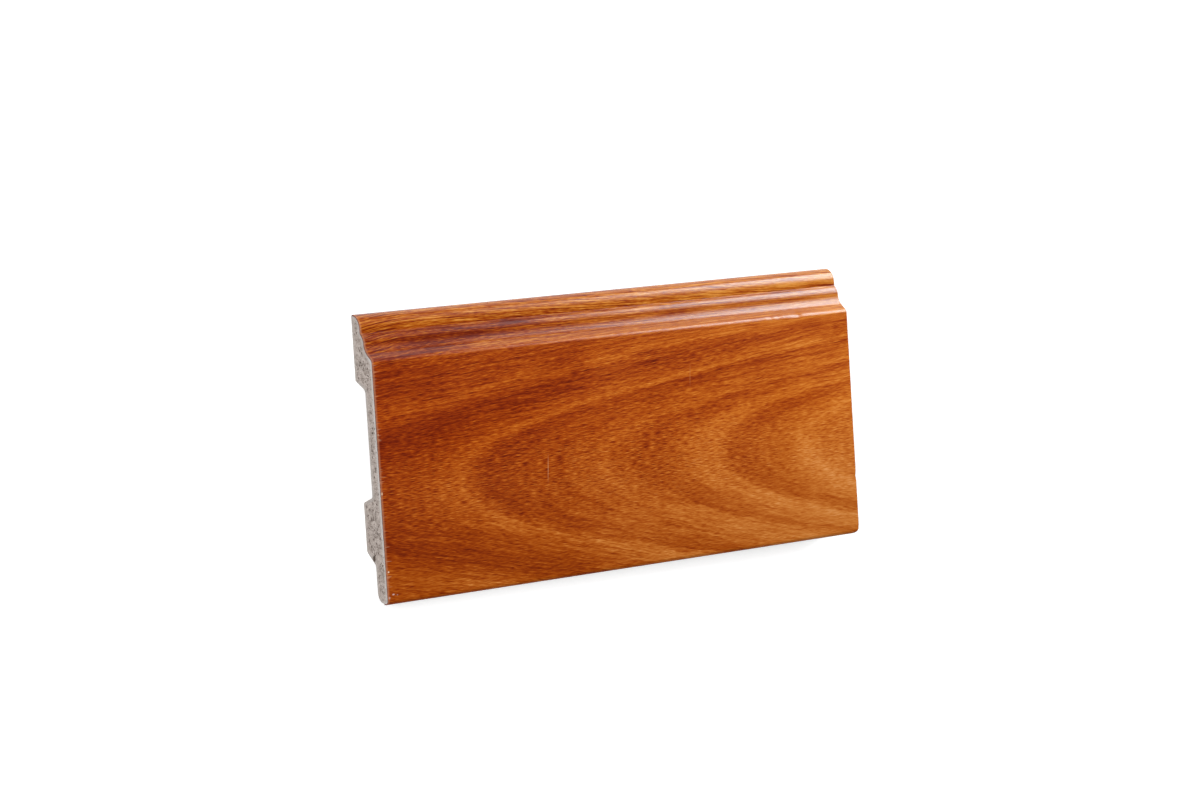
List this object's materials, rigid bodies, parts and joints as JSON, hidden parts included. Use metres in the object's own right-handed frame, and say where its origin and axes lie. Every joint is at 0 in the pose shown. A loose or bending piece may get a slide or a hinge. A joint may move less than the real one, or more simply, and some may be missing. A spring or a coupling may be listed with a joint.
{
  "type": "skirting board length",
  "caption": "Short cut length of skirting board: an extruded foamed-plastic strip with a moulded top edge and a hollowed back, wrapped over its face in a glossy wood-grain film.",
  "frame": {"origin": "middle of the strip's length and height, on the wall plane that its back pads lie on", "axes": "+X along the strip to the right, seen from the face; +Y up the face, from the floor edge to the moulded top edge; +Z out of the wall, towards the face"},
  "size_m": [0.2, 0.095, 0.011],
  "materials": {
    "foamed_polystyrene": "warm light grey closed-cell foam, smooth extruded skin, sawn ends that show fine pores",
    "wood_grain_film": "glossy orange-brown printed wood-grain film with a fine embossed pore texture"
  },
  "bodies": {
    "root": {"foam_core": "foamed_polystyrene", "wood_grain_film": "wood_grain_film"}
  },
  "joints": []
}
